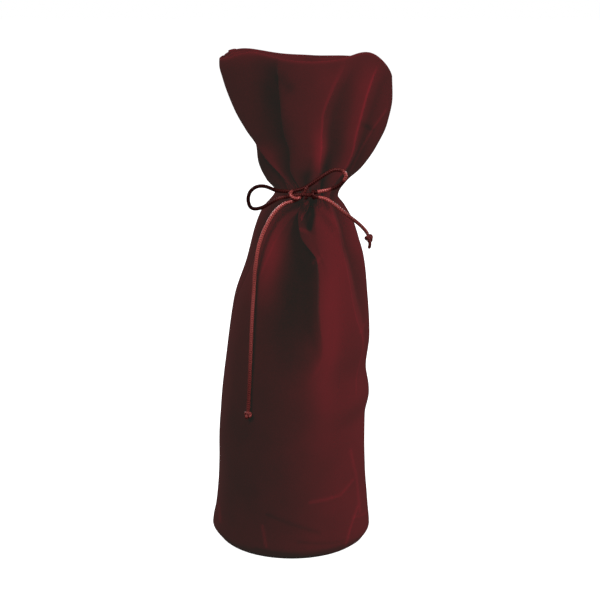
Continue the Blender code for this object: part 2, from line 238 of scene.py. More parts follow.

# Painted light and shade along each free cord, which scale its colour and gloss, as (share of its length,
# amount).
PAINTED_CORD_LIGHT = {
    "left_loop": ((0, 0.2), (0.2, 0.07), (0.6, 0.05), (0.8, 0.12), (0.88, 0.35), (0.94, 0.12), (1, 0.15)),
    "right_loop": ((0, 0.15), (0.3, 0.2), (0.48, 0.25), (0.53, 1.1), (0.6, 1.1), (0.63, 0.12), (0.78, 0.12),
                   (0.84, 1.2), (1, 1.2)),
    "left_tail": ((0, 0.8), (0.08, 1.3), (0.25, 1.5), (0.4, 0.85), (0.6, 0.8), (0.75, 0.6), (0.9, 0.4),
                  (1, 0.5)),
    "right_tail": ((0, 0.9), (0.2, 1.2), (0.45, 0.8), (0.65, 0.4), (1, 0.45)),
}

# The strands of the bow knot, each with its painted light and shade, which scales its colour and gloss: the
# two that come out of the bag, the band across and the turns over it. Their rings turn about the knot's
# heart.
KNOT_HEART = (2.0, -33.0, 281.0)
# The neck cord's painted light and shade, which scales its colour and gloss.
NECK_CORD_PAINTED_SHINE = 0.3
KNOT_STRANDS = (
    (0.15, (-3.0, -27.6, 280.0), (-3.4, -30.4, 280.2), (-5.0, -32.6, 281.6), (-7.4, -33.5, 283.0),
     (-9.4, -33.7, 283.4)),
    (0.15, (7.0, -27.6, 280.0), (7.4, -30.6, 280.4), (9.4, -32.8, 281.4), (11.4, -33.6, 282.6),
     (13.8, -34.0, 283.2)),
    (0.2, (-9.6, -33.9, 279.4), (-6.6, -35.0, 280.4), (-3.0, -36.2, 281.0), (1.6, -36.6, 281.4),
     (6.0, -36.2, 281.2), (9.8, -35.3, 280.2), (13.6, -34.7, 279.0)),
    (0.9, (-5.6, -33.4, 283.4), (-6.8, -35.4, 282.8), (-7.0, -37.2, 281.6), (-5.9, -38.2, 280.2),
     (-3.8, -38.6, 279.2), (-1.4, -38.0, 279.2), (0.2, -35.8, 280.0)),
    (0.15, (4.4, -33.6, 286.6), (1.2, -34.0, 285.2), (-3.6, -34.2, 284.0), (-7.6, -33.8, 282.4)),
    (0.3, (5.6, -34.5, 287.2), (4.0, -34.9, 284.8), (3.2, -34.8, 282.6), (0.4, -34.4, 279.4),
     (-2.4, -35.4, 277.4), (-6.4, -36.2, 276.2)),
    (0.15, (10.2, -32.6, 279.6), (10.4, -34.4, 278.6), (9.8, -35.8, 279.4), (9.2, -36.6, 280.8),
     (9.2, -36.0, 282.4), (9.8, -34.4, 283.4), (10.4, -32.6, 283.0)),
)


def linear(hex_colour):
    """Turns an sRGB hex colour to the linear one that a shader takes."""
    parts = [int(hex_colour[i : i + 2], 16) / 255 for i in (1, 3, 5)]
    return tuple(p / 12.92 if p <= 0.04045 else ((p + 0.055) / 1.055) ** 2.4 for p in parts)


def eased(points, where):
    """A cubic through (place, value) points that never overshoots them, flat beyond its ends.

    Its slope at a point is the harmonic mean of the slopes on both sides, and 0 where they differ in sign.
    """
    places, values = np.array(sorted(points), float).T
    steps = np.diff(places)
    slopes = np.diff(values) / steps
    product = slopes[:-1] * slopes[1:]
    tangents = np.zeros(len(places))
    same_way = product > 0
    tangents[1:-1] = np.where(same_way, 2 * product / np.where(same_way, slopes[:-1] + slopes[1:], 1), 0)
    i = np.clip(np.searchsorted(places, where) - 1, 0, len(steps) - 1)
    t = np.clip((where - places[i]) / steps[i], 0, 1)
    start = (2 * t**3 - 3 * t**2 + 1) * values[i] + (t**3 - 2 * t**2 + t) * steps[i] * tangents[i]
    end = (3 * t**2 - 2 * t**3) * values[i + 1] + (t**3 - t**2) * steps[i] * tangents[i + 1]
    return start + end


def smoothstep(low, high, x):
    t = np.clip((x - low) / (high - low), 0, 1)
    return t * t * (3 - 2 * t)


def bell_round(turn, place, width):
    """A bell exp(-(distance / width)^2) of the shorter distance in degrees round the bag."""
    return np.exp(-((((turn - place + 180) % 360 - 180) / width) ** 2))


def unit(vectors):
    return vectors / np.maximum(np.linalg.norm(vectors, axis=-1, keepdims=True), 1e-12)


def fold_fields(around, heights):
    """The turn and stand-off of the cloth at each height (rows) and share of the way round (columns).

    Between two fold lines both are straight in the share of the way round, and at a line the two straights
    meet in a rounded bend: start + slope * x + sum of (change of slope) * (x + sqrt(x^2 + softness^2)) / 2.
    """
    count = len(FOLDS)
    above = smoothstep(TIE - CHANNEL_HALF, TIE + CHANNEL_HALF, heights)[:, None]
    turns, stands, softs, cuts = [], [], [], []
    for _, cut, soft_above, soft_below, stations in FOLDS:
        turns.append(eased([(h, turn) for h, turn, _ in stations], heights) - 360 * cut)
        stands.append(eased([(h, stand) for h, _, stand in stations], heights))
        softs.append(soft_below + (soft_above - soft_below) * above)
        cuts.append(cut)
    fields = []
    for values in (turns, stands):
        value = np.array(values * 3)[..., None]
        place = np.array([c + lap for lap in (-1, 0, 1) for c in cuts])
        slope = np.diff(value, axis=0) / np.diff(place)[:, None, None]
        field = value[0] + slope[0] * (around - place[0])
        for k in range(1, 3 * count - 1):
            x = around - place[k]
            field = field + (slope[k] - slope[k - 1]) * (x + np.sqrt(x**2 + softs[k % count] ** 2)) / 2
        fields.append(field)
    return fields[0] + 360 * around, fields[1]


def wall_surface(around, heights):
    """The velvet's outside, as points in millimetres, and the turn of each.

    An oval at each height, whose sides and depth follow the three outlines, is turned and pushed out or in
    by the folds, a slow ripple and, at the tie, small gathers. Above the tie the heights stretch so that the
    last row follows the mouth's edge.
    """
    turn, stand = fold_fields(around, heights)
    rows = heights[:, None]
    angle = np.radians(turn)
    low = 1 - smoothstep(90, 200, rows)
    ripple = np.sin(3 * angle + rows / 19) * np.sin(rows / 31 + 1.3) + 0.6 * np.sin(7 * angle - rows / 11 + 2)
    stand = stand + 0.35 * ripple * (0.3 + low)
    pinch = np.exp(-(((rows - TIE - 3 * np.sin(angle)) / 9) ** 2))
    lap = 2 * np.pi * around
    stand = stand + pinch * (0.45 * np.sin(52 * lap) + 0.3 * np.sin(31 * lap + 1))
    left, right = eased(LEFT_EDGE, rows), eased(RIGHT_EDGE, rows)
    depth = eased(HALF_DEPTH, rows - 3 * np.sin(angle) * np.exp(-(((rows - TIE) / 25) ** 2)))
    half = (right - left) / 2
    away = unit(np.stack([-np.cos(angle) / half, -np.sin(angle) / depth], -1))
    x = (left + right) / 2 - half * np.cos(angle) + stand * away[..., 0]
    y = -depth * np.sin(angle) + stand * away[..., 1]
    lift = sum(height * bell_round(turn, place, width) for place, width, height in MOUTH_WAVES)
    lift = lift * np.clip((rows - TIE) / (RIM - TIE), 0, 1) ** 1.5
    return np.stack([x, y, rows + lift], -1), turn


def normals_of(points, smooth=0):
    """Outward directions of a grid of points, from its differences along rows and columns."""
    direction = unit(np.cross(np.gradient(points, axis=1), np.gradient(points, axis=0)))
    for _ in range(smooth):
        padded = np.pad(direction, ((1, 1), (1, 1), (0, 0)), mode="edge")
        beside = padded[1:-1, :-2] + padded[1:-1, 2:]
        direction = unit(padded[1:-1, 1:-1] * 2 + padded[:-2, 1:-1] + padded[2:, 1:-1] + beside)
    return direction


def even_columns(start, end, count):
    """Shares of the way round whose columns are as far apart, taken over the whole height."""
    fine = np.linspace(start, end, 1600)
    points, _ = wall_surface(fine, np.linspace(5, RIM, 60))
    steps = np.linalg.norm(np.diff(points, axis=1), axis=-1).mean(0)
    along = np.concatenate([[0], np.cumsum(steps + 0.25 * steps.mean())])
    columns = np.interp(np.linspace(0, along[-1], count), along, fine)
    for _, cut, *_ in FOLDS:
        nearest = int(np.argmin(abs(columns - cut)))
        if 0 < nearest < count - 1:
            columns[nearest] = cut
    return columns


def lay_mesh(name, points, faces, material, uv=None, **values):
    """Puts points in millimetres, four-cornered faces and their maps into a new object at the origin."""
    mesh = bpy.data.meshes.new(name)
    points = np.asarray(points, float).reshape(-1, 3) * MM
    faces = np.asarray(faces, int)
    mesh.vertices.add(len(points))
    mesh.vertices.foreach_set("co", points.ravel())
    mesh.loops.add(faces.size)
    mesh.loops.foreach_set("vertex_index", faces.ravel())
    mesh.polygons.add(len(faces))
    mesh.polygons.foreach_set("loop_start", np.arange(len(faces)) * 4)
    mesh.polygons.foreach_set("use_smooth", np.ones(len(faces), bool))
    mesh.update(calc_edges=True)
    if uv is not None:
        layer = mesh.uv_layers.new(name="lengthwise")
        layer.data.foreach_set("uv", np.asarray(uv, float).ravel())
    for label, value in values.items():
        attribute = mesh.attributes.new(label, "FLOAT", "POINT")
        attribute.data.foreach_set("value", np.asarray(value, np.float32).ravel())
    if mesh.validate():
        raise RuntimeError(f"{name} has faces that can't be kept")
    mesh.materials.append(material)
    made = bpy.data.objects.new(name, mesh)
    bpy.context.scene.collection.objects.link(made)
    return made


def belongs(made, slot, body, *nodes):
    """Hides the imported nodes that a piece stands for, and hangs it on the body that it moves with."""
    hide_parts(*nodes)
    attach(made, body)
    return made


def ring_faces(count, sides, closed_rings=False, closed_sides=True):
    """Four-cornered faces between each ring of points and the next, and each side and the one beside it."""
    rings, columns = count if closed_rings else count - 1, sides if closed_sides else sides - 1
    ring, column = np.meshgrid(np.arange(rings), np.arange(columns), indexing="ij")
    after, beside = (ring + 1) % count, (column + 1) % sides
    corners = ((ring, column), (ring, beside), (after, beside), (after, column))
    return np.stack([along * sides + across for along, across in corners], -1).reshape(-1, 4)


def end_caps(count, sides):
    """Four-cornered faces that close the first and the last ring, each as a strip from side to side."""
    quads = np.arange(sides // 2 - 1)
    first = np.stack([quads, sides - 1 - quads, sides - 2 - quads, quads + 1], -1)
    return np.concatenate([first, (count - 1) * sides + first[:, ::-1]])


def cloth_shell(name, outside, inside, material, turns=3, **values):
    """A closed sheet between two grids of points, its top and bottom edges turned over in half rounds."""
    centre_top, reach_top = (outside[-1] + inside[-1]) / 2, (outside[-1] - inside[-1]) / 2
    centre_low, reach_low = (outside[0] + inside[0]) / 2, (outside[0] - inside[0]) / 2
    size_top = np.linalg.norm(reach_top, axis=-1, keepdims=True)
    size_low = np.linalg.norm(reach_low, axis=-1, keepdims=True)
    up = unit(outside[-1] - outside[-3]) * size_top
    down = unit(outside[0] - outside[2]) * size_low
    bends = np.pi * (np.arange(2 * turns) + 0.5) / (2 * turns)
    top = [centre_top + reach_top * math.cos(b) + up * math.sin(b) for b in bends]
    low = [centre_low - reach_low * math.cos(b) + down * math.sin(b) for b in bends]
    rings = np.array([*low[turns:], *outside, *top, *inside[::-1], *low[:turns]])
    count, wide = rings.shape[:2]
    p = np.arange(count // 2 - 1)
    ends = np.stack([p, p + 1, count - 2 - p, count - 1 - p], -1) * wide
    faces = ring_faces(count, wide, closed_rings=True, closed_sides=False)
    faces = np.concatenate([faces, ends, ends[:, ::-1] + wide - 1])
    maps = {}
    for label, value in values.items():
        low, top = [value[0]] * turns, [value[-1]] * (2 * turns)
        maps[label] = np.array([*low, *value, *top, *value[::-1], *low])
    return lay_mesh(name, rings, faces, material, **maps)


def smooth_path(points, spacing):
    """Points about a spacing apart on a smooth curve through a route: a Catmull-Rom cubic on each stretch."""
    route = np.array(points, float)
    route = np.concatenate([2 * route[:1] - route[1:2], route, 2 * route[-1:] - route[-2:-1]])
    pieces = []
    for before, start, end, after in zip(route, route[1:], route[2:], route[3:]):
        count = max(1, round(float(np.linalg.norm(end - start)) / spacing))
        t = (np.arange(count) / count)[:, None]
        pieces.append(
            0.5
            * (
                2 * start
                + (end - before) * t
                + (2 * before - 5 * start + 4 * end - after) * t**2
                + (3 * start - before - 3 * end + after) * t**3
            )
        )
    return np.concatenate([*pieces, route[-2:-1]])


def cord_grid(path, diameter, side, closed=False, sides=CORD_SIDES):
    """Rings of a round cord along a path, its faces and its map: the way round, and the length along in mm.

    A ring's point is path + radius * (cos * side + sin * cross(direction, side)). An open cord's ends close
    in a half round.
    """
    if closed:
        direction = unit(np.roll(path, -1, 0) - np.roll(path, 1, 0))
    else:
        direction = unit(np.gradient(path, axis=0))
    side = unit(side - (side * direction).sum(-1, keepdims=True) * direction)
    other = np.cross(direction, side)
    radius = np.full(len(path), diameter / 2)
    along = np.concatenate([[0], np.cumsum(np.linalg.norm(np.diff(path, axis=0), axis=1))])
    if not closed:
        bend = np.radians([4, 25, 45, 65])
        first = path[0] - np.cos(bend)[:, None] * direction[0] * diameter * 0.35
        last = path[-1] + np.cos(bend)[::-1, None] * direction[-1] * diameter * 0.35
        path = np.concatenate([first, path, last])
        radius = np.concatenate([np.sin(bend) * diameter / 2, radius, np.sin(bend)[::-1] * diameter / 2])
        side = np.concatenate([np.repeat(side[:1], 4, 0), side, np.repeat(side[-1:], 4, 0)])
        other = np.concatenate([np.repeat(other[:1], 4, 0), other, np.repeat(other[-1:], 4, 0)])
        along = np.concatenate([along[0] - np.cos(bend), along, along[-1] + np.cos(bend)[::-1]])
    turn = 2 * np.pi * np.arange(sides) / sides
    rings = path[:, None] + radius[:, None, None] * (
        np.cos(turn)[:, None] * side[:, None] + np.sin(turn)[:, None] * other[:, None]
    )
    count = len(rings)
    faces = ring_faces(count, sides, closed_rings=closed)
    ring, column, after = faces[:, 0] // sides, faces[:, 0] % sides, faces[:, 3] // sides
    here = along[ring]
    there = np.where(after > ring, along[after], here + along[1] - along[0])
    low, high = column / sides, (column + 1) / sides
    uv = np.stack([low, here, high, here, high, there, low, there], -1).reshape(-1, 2)
    if not closed:
        caps = end_caps(count, sides)
        faces = np.concatenate([faces, caps])
        uv = np.concatenate([uv, np.zeros((caps.size, 2))])
    return rings.reshape(-1, 3), faces, uv


def join_grids(grids):
    """Several grids of points, faces and map as one."""
    points, faces, uvs, total = [], [], [], 0
    for point, face, uv in grids:
        points.append(point)
        faces.append(face + total)
        uvs.append(uv)
        total += len(point)
    return np.concatenate(points), np.concatenate(faces), np.concatenate(uvs)


def overhand_knot(centre, size, diameter, lean=0.0):
    """A small overhand knot: the closed curve (sin t + 2 sin 2t, -1.15 sin 3t, cos t - 2 cos 2t)."""
    t = np.linspace(0, 2 * np.pi, 96, endpoint=False)
    path = np.stack([np.sin(t) + 2 * np.sin(2 * t), -1.15 * np.sin(3 * t), np.cos(t) - 2 * np.cos(2 * t)], -1)
    turn = math.radians(lean)
    spin = np.array([[math.cos(turn), 0, math.sin(turn)], [0, 1, 0], [-math.sin(turn), 0, math.cos(turn)]])
    path = path @ spin.T * size + np.array(centre)
    core = unit((path - np.array(centre)) * [1, 0, 1]) * 2 * size + np.array(centre)
    return cord_grid(path, diameter, path - core, closed=True, sides=14)


def node(tree, kind, links=None, **settings):
    """Adds a shader node with its settings, and values or other nodes' outputs for its inputs."""
    made = tree.nodes.new(kind)
    for label, value in settings.items():
        setattr(made, label, value)
    for label, value in (links or {}).items():
        if isinstance(value, bpy.types.NodeSocket):
            tree.links.new(value, made.inputs[label])
        else:
            made.inputs[label].default_value = value
    return made


def new_material(name):
    made = bpy.data.materials.new(name)
    made.use_nodes = True
    made.node_tree.nodes.clear()
    return made, made.node_tree


def velvet_material(name, settings):
    """Cotton velvet, cut pile. Its short upright fibres swallow light face on and catch it at grazing angles.
    Its colour runs from painted shade to painted light by a tone stored on the mesh, and a faint glow is
    painted on."""
    made, tree = new_material(name)
    place = node(tree, "ShaderNodeTexCoord").outputs["Object"]
    # The stored tone carries the painted light and shade.
    nap = node(tree, "ShaderNodeAttribute", attribute_name="nap").outputs["Fac"]
    # Soft clouds about 22 mm across, and clumps of pile about 1.1 mm across, drawn coarser than real ones so
    # that they show.
    cloud = node(tree, "ShaderNodeTexNoise", {"Vector": place, "Scale": 45, "Detail": 3, "Roughness": 0.55})
    pile = node(tree, "ShaderNodeTexNoise", {"Vector": place, "Scale": 900, "Detail": 2, "Roughness": 0.6})
    toned = nap
    for pattern in (cloud, pile):
        change = node(tree, "ShaderNodeMath", {0: pattern.outputs["Fac"], 1: 0.5}, operation="SUBTRACT")
        added = {0: change.outputs[0], 1: 0.12, 2: toned}
        toned = node(tree, "ShaderNodeMath", added, operation="MULTIPLY_ADD").outputs[0]
    tone = node(tree, "ShaderNodeValToRGB", {"Fac": toned})
    tone.color_ramp.elements[0].color = (*settings.velvet_painted_shade, 1)
    tone.color_ramp.elements[1].color = (*settings.velvet_painted_light, 1)
    bump = node(tree, "ShaderNodeBump", {"Height": pile.outputs["Fac"], "Strength": 0.25, "Distance": 0.0003})
    surface = node(
        tree,
        "ShaderNodeBsdfPrincipled",
        {
            "Base Color": tone.outputs["Color"],
            "Roughness": 0.95,
            "IOR": 1.45,
            "Specular IOR Level": 0.0,
            "Sheen Weight": 0.08,
            "Sheen Roughness": 0.5,
            "Sheen Tint": (*settings.velvet_sheen, 1),
            "Emission Color": (*settings.velvet_glow, 1),
            "Emission Strength": 1.0,
            "Normal": bump.outputs["Normal"],
        },
    )
    node(tree, "ShaderNodeOutputMaterial", {"Surface": surface.outputs["BSDF"]})
    return made


def satin_material(name, settings):
    """Rayon satin cord, braided tight: smooth glossy yarns cross it in a fine slanted pattern that breaks its
    highlight into a row of small glints."""
    made, tree = new_material(name)
    place = node(tree, "ShaderNodeUVMap", uv_map="lengthwise").outputs["UV"]
    strands = []
    for way in (2.0, -2.0):
        along = node(tree, "ShaderNodeVectorMath", {0: place, 1: (way, 1 / 1.7, 0)}, operation="DOT_PRODUCT")
        turns = along.outputs["Value"]
        angle = node(tree, "ShaderNodeMath", {0: turns, 1: 2 * math.pi}, operation="MULTIPLY")
        strands.append(node(tree, "ShaderNodeMath", {0: angle.outputs[0]}, operation="SINE").outputs[0])
    braid = node(tree, "ShaderNodeMath", {0: strands[0], 1: strands[1]}, operation="MAXIMUM")
    tone = node(tree, "ShaderNodeValToRGB", {"Fac": braid.outputs[0]})
    tone.color_ramp.elements[0].color = (*settings.satin_dark, 1)
    tone.color_ramp.elements[1].color = (*settings.satin, 1)
    # The cord's colour and gloss are scaled by painted light and shade stored along it.
    lustre = node(tree, "ShaderNodeAttribute", attribute_name="lustre").outputs["Fac"]
    tone = node(tree, "ShaderNodeVectorMath", {0: tone.outputs["Color"], "Scale": lustre}, operation="SCALE")
    painted_shine = node(tree, "ShaderNodeMath", {0: lustre, 1: 0.9}, operation="MULTIPLY")
    bump = node(tree, "ShaderNodeBump", {"Height": braid.outputs[0], "Strength": 0.3, "Distance": 0.0002})
    surface = node(
        tree,
        "ShaderNodeBsdfPrincipled",
        {
            "Base Color": tone.outputs["Vector"],
            "Roughness": 0.32,
            "IOR": 1.5,
            "Specular IOR Level": painted_shine.outputs[0],
            "Specular Tint": (*settings.satin_glint, 1),
            "Normal": bump.outputs["Normal"],
        },
    )
    node(tree, "ShaderNodeOutputMaterial", {"Surface": surface.outputs["BSDF"]})
    return made


def plain_material(name, colour, roughness, grain, depth):
    """A matte finish with a fine uneven grain: spun polyester thread, or pressed grey board."""
    made, tree = new_material(name)
    place = node(tree, "ShaderNodeTexCoord").outputs["Object"]
    noise = node(tree, "ShaderNodeTexNoise", {"Vector": place, "Scale": grain, "Detail": 4.0})
    tone = node(tree, "ShaderNodeValToRGB", {"Fac": noise.outputs["Fac"]})
    tone.color_ramp.elements[0].color = (*(c * 0.7 for c in colour), 1)
    tone.color_ramp.elements[1].color = (*(min(1, c * 1.25) for c in colour), 1)
    bump = node(tree, "ShaderNodeBump", {"Height": noise.outputs["Fac"], "Strength": 0.3, "Distance": depth})
    surface = node(
        tree,
        "ShaderNodeBsdfPrincipled",
        {"Base Color": tone.outputs["Color"], "Roughness": roughness, "Normal": bump.outputs["Normal"]},
    )
    node(tree, "ShaderNodeOutputMaterial", {"Surface": surface.outputs["BSDF"]})
    return made


def get_material(name, settings):
    """The bag's finishes, each made once."""
    made = bpy.data.materials.get(name)
    if made:
        return made
    if name in ("cotton_velvet_cut_pile", "cotton_velvet_turned_in"):
        return velvet_material(name, settings)
    if name == "rayon_satin_cord_braided":
        return satin_material(name, settings)
    if name == "polyester_sewing_thread_spun":
        return plain_material(name, settings.thread, 0.6, 1500.0, 0.0001)
    return plain_material(name, settings.board, 0.9, 400.0, 0.0002)


def length_setting(name, description, size):
    return bpy.props.FloatProperty(name=name, description=description, default=size * MM, unit="LENGTH")


def colour_setting(name, description, hex_colour):
    return bpy.props.FloatVectorProperty(
        name=name, description=description, default=linear(hex_colour), subtype="COLOR", size=3, min=0, max=1
    )


class BagSettings(bpy.types.PropertyGroup):
    """Sizes and colours of the bag."""

    velvet_thickness: length_setting("Velvet thickness", "Thickness of one layer of velvet", 1.2)
    cord_diameter: length_setting("Cord diameter", "Diameter of the satin cord", 2.8)
    stitch_length: length_setting("Stitch length", "Length of one machine stitch", 2.6)
    thread_diameter: length_setting("Thread diameter", "Diameter of the sewing thread", 0.55)
    # The velvet's colour in full painted shade and in full painted light; its tone runs between them.
    velvet_painted_shade: colour_setting("Velvet, stroked down", "Colour where the pile lies away", "#0a0202")
    velvet_painted_light: colour_setting("Velvet, stroked up", "Colour where the pile stands up", "#7c0d1e")
    velvet_sheen: colour_setting("Velvet sheen", "Colour of the light that its fibre tips catch", "#b06a6c")
    velvet_glow: colour_setting(
        "Velvet glow", "Faint even light added for looks, so that deep folds aren't black", "#1f201d"
    )
    satin: colour_setting("Satin cord", "Colour of the cord's yarns", "#a84c48")
    satin_glint: colour_setting("Cord glint", "Colour of the highlight on the satin yarns", "#ffa6a6")
    satin_dark: colour_setting("Satin cord, between yarns", "Colour in the braid's gaps", "#6a2c2a")
    thread: colour_setting("Thread", "Colour of the sewing thread", "#5a161c")
    board: colour_setting("Board", "Colour of the base board", "#ada69a")


def nap_field(around, heights):
    """How brightly the velvet shows, with its painted light and shade, at each height (rows) and share of the
    way round (columns).

    The plain tone and a bell for each painted patch of light or shade are added up. Valleys get painted
    shade:
    this is multiplied by exp(stand-off / shade depth), and ridges get painted light, by 1 + ridge tone *
    stand-off. A painted highlight is a narrow bell on its fold line, or along the rim.
    """
    turn, stand = fold_fields(around, heights)
    rows = heights[:, None]
    tone = np.full(turn.shape, PLAIN_TONE)
    for (place, height), (half_turn, half_height), change in PAINTED_LIGHT_AND_SHADE:
        tone += change * bell_round(turn, place, half_turn) * np.exp(-(((rows - height) / half_height) ** 2))
    # Painted shade in the valleys and painted light on the ridges.
    tone *= np.exp(np.minimum(stand, 0) / PAINTED_SHADE_DEPTH) * (1 + RIDGE_PAINTED_LIGHT * np.maximum(stand, 0))
    cuts = {name: cut for name, cut, *_ in FOLDS}
    for name, ((shift, width), *stations) in PAINTED_FOLD_HIGHLIGHTS.items():
        bell = np.exp(-((((around - cuts[name]) * FLAT_ROUND - shift) / width) ** 2))
        tone += eased(stations, heights)[:, None] * bell
    return tone + RIM_PAINTED_HIGHLIGHT * np.exp(-(((RIM - rows) / RIM_PAINTED_HIGHLIGHT_HALF) ** 2))


def crease_field(points):
    """How much the small creases dent the front and paint highlight or shade: a bell across the way along
    each.
    """
    flat = points[..., [0, 2]]
    total = np.zeros(flat.shape[:-1])
    for amount, width, *places in CREASES:
        near = np.full(total.shape, np.inf)
        for start, end in zip(np.array(places[:-1], float), np.array(places[1:], float)):
            ahead = end - start
            share = np.clip(((flat - start) @ ahead) / (ahead @ ahead), 0, 1)
            near = np.minimum(near, np.linalg.norm(flat - start - share[..., None] * ahead, axis=-1))
        total += amount * np.exp(-((near / width) ** 2))
    return total * (points[..., 1] < 0)


def panel_grids(start, end, columns, rows, thickness):
    """The outside and inside of one panel, with a groove where it is sewn at each side."""
    around = even_columns(start, end, columns)
    points, _ = wall_surface(around, rows)
    away = normals_of(points, 1)
    edge = np.minimum(around - start, end - around) * FLAT_ROUND
    groove = SEAM_GROOVE_DEPTH * np.exp(-((edge / SEAM_GROOVE_HALF) ** 2))[None, :, None]
    points = points - away * groove
    inside = points - normals_of(points, 6) * (thickness - 0.5 * groove)
    creases = crease_field(points)
    points = points + away * CREASE_HEIGHT * creases[..., None]
    # The tone carries the painted light and shade, with the creases' painted highlight and shade.
    return points, inside, np.clip((nap_field(around, rows) + creases) / MOST_TONE, 0, 1)


class BAG_OT_camera(bpy.types.Operator):
    """Adds the camera, a little above the bag and looking down at it"""

    bl_idname = "gift_bag.camera"
    bl_label = "Camera"

    def execute(self, context):
        data = bpy.data.cameras.new("camera")
        data.sensor_width = 36
        data.lens = 87.9
        made = bpy.data.objects.new("camera", data)
        made.location = (0, -1.10, 0.48)
        made.rotation_euler = (math.radians(90 - 14.69), 0, 0)
        context.scene.collection.objects.link(made)
        context.scene.camera = made
        return {"FINISHED"}


class BAG_OT_cords(bpy.types.Operator):
    """Adds the bow's two loops and its two tails, each tail with its end knot"""

    bl_idname = "gift_bag.cords"
    bl_label = "Loops and tails"

    def execute(self, context):
        settings = context.scene.gift_bag
        satin = get_material("rayon_satin_cord_braided", settings)
        wide = settings.cord_diameter / MM
        front = np.array([0.0, -1.0, 0.0])
        knots = {}
        # Each end knot has one painted light and shade value, which scales its colour and gloss.
        for name, centre, lean, size, painted_shine, stub in (
            ("left_end_knot", LEFT_KNOT_CENTRE, 20, 0.72, 0.6, LEFT_STUB_ROUTE),
            ("right_end_knot", RIGHT_KNOT_CENTRE, -25, 0.78, 0.35, RIGHT_STUB_ROUTE),
        ):
            neck = cord_grid(smooth_path(stub, 0.8), wide - 0.4, front, sides=12)
            points, faces, uv = join_grids([overhand_knot(centre, size, 3.1 * size, lean), neck])
            lustre = np.full(len(points), painted_shine)
            knots[name] = lay_mesh(f"{name}_tied", points, faces, satin, uv, lustre=lustre)
            belongs(knots[name], "satin_cord", name.replace("end_knot", "tail"), name)
        for name, route, far_end, knot, bend in (
            ("left_loop", LEFT_LOOP_ROUTE, "object", None, ((-7, -33.8, 281.4), (-13, -34.2, 281.4))),
            ("right_loop", RIGHT_LOOP_ROUTE, "object", None, ((6, -34, 284.5), (12.5, -35, 287.5))),
            ("left_tail", LEFT_TAIL_ROUTE, "knot", "left_end_knot",
             ((-6, -36.2, 276.4), (-11.5, -35.8, 274))),
            ("right_tail", RIGHT_TAIL_ROUTE, "knot", "right_end_knot",
             ((13, -34.6, 279.2), (18, -35, 278))),
        ):
            path = smooth_path(route, 1.0)
            points, faces, uv = cord_grid(path, wide, front)
            share = np.linspace(0, 1, len(points) // CORD_SIDES)
            lustre = np.interp(np.repeat(share, CORD_SIDES), *zip(*PAINTED_CORD_LIGHT[name]))
            made = lay_mesh(f"{name}_cord", points, faces, satin, uv, lustre=lustre)
            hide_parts(name)
            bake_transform(made)
        return {"FINISHED"}


class BAG_OT_knot(bpy.types.Operator):
    """Adds the bow knot and the cord in the channel round the neck"""

    bl_idname = "gift_bag.knot"
    bl_label = "Bow knot and neck cord"

    def execute(self, context):
        settings = context.scene.gift_bag
        satin = get_material("rayon_satin_cord_braided", settings)
        wide = settings.cord_diameter / MM
        grids, lustre = [], []
        for painted_shine, *strand in KNOT_STRANDS:
            path = smooth_path(strand, 0.6)
            side = unit(path - np.array(KNOT_HEART))
            grids.append(cord_grid(path, wide * 0.96, side))
            lustre.append(np.full(len(grids[-1][0]), painted_shine))
        points, faces, uv = join_grids(grids)
        made = lay_mesh("bow_knot_tied", points, faces, satin, uv, lustre=np.concatenate(lustre))
        belongs(made, "satin_cord", "bag", "bow_knot")

        around = np.linspace(0.222, 1.188, 260)
        ring, _ = wall_surface(around, np.array([TIE - 1.0, TIE, TIE + 1.0]))
        away = normals_of(ring, 2)[1]
        path = ring[1] - away * (settings.velvet_thickness / MM + wide / 2 + 0.4)
        for _ in range(5):
            path[1:-1] = (path[:-2] + 2 * path[1:-1] + path[2:]) / 4
        points, faces, uv = cord_grid(path, wide, np.array([0.0, 0.0, 1.0]), sides=10)
        lustre = np.full(len(points), NECK_CORD_PAINTED_SHINE)
        made = lay_mesh("neck_cord_in_channel", points, faces, satin, uv, lustre=lustre)
        belongs(made, "satin_cord", "bag", "neck_cord")
        return {"FINISHED"}


def wall_rows():
    """Heights of the wall's rows: close together at the base's roll, the folds and the gathered neck."""
    return np.concatenate([
        np.linspace(2.2, 60, 44)[:-1], np.linspace(60, 140, 46)[:-1], np.linspace(140, 250, 58)[:-1],
        np.linspace(250, 306, 54)[:-1], np.linspace(306, 377, 44),
    ])


class BAG_OT_wall(bpy.types.Operator):
    """Adds the front and back velvet panels, gathered at the neck"""

    bl_idname = "gift_bag.wall"
    bl_label = "Velvet panels"

    def execute(self, context):
        settings = context.scene.gift_bag
        velvet = get_material("cotton_velvet_cut_pile", settings)
        thickness = settings.velvet_thickness / MM
        gap = SEAM_GAP / FLAT_ROUND
        for side, start in (("front", 0.0), ("back", 0.5)):
            outside, inside, nap = panel_grids(
                start + gap, start + 0.5 - gap, PANEL_COLUMNS, wall_rows(), thickness
            )
            made = cloth_shell(f"velvet_{side}", outside, inside, velvet, nap=nap)
            belongs(made, "velvet", "bag", f"{side}_panel")
        return {"FINISHED"}


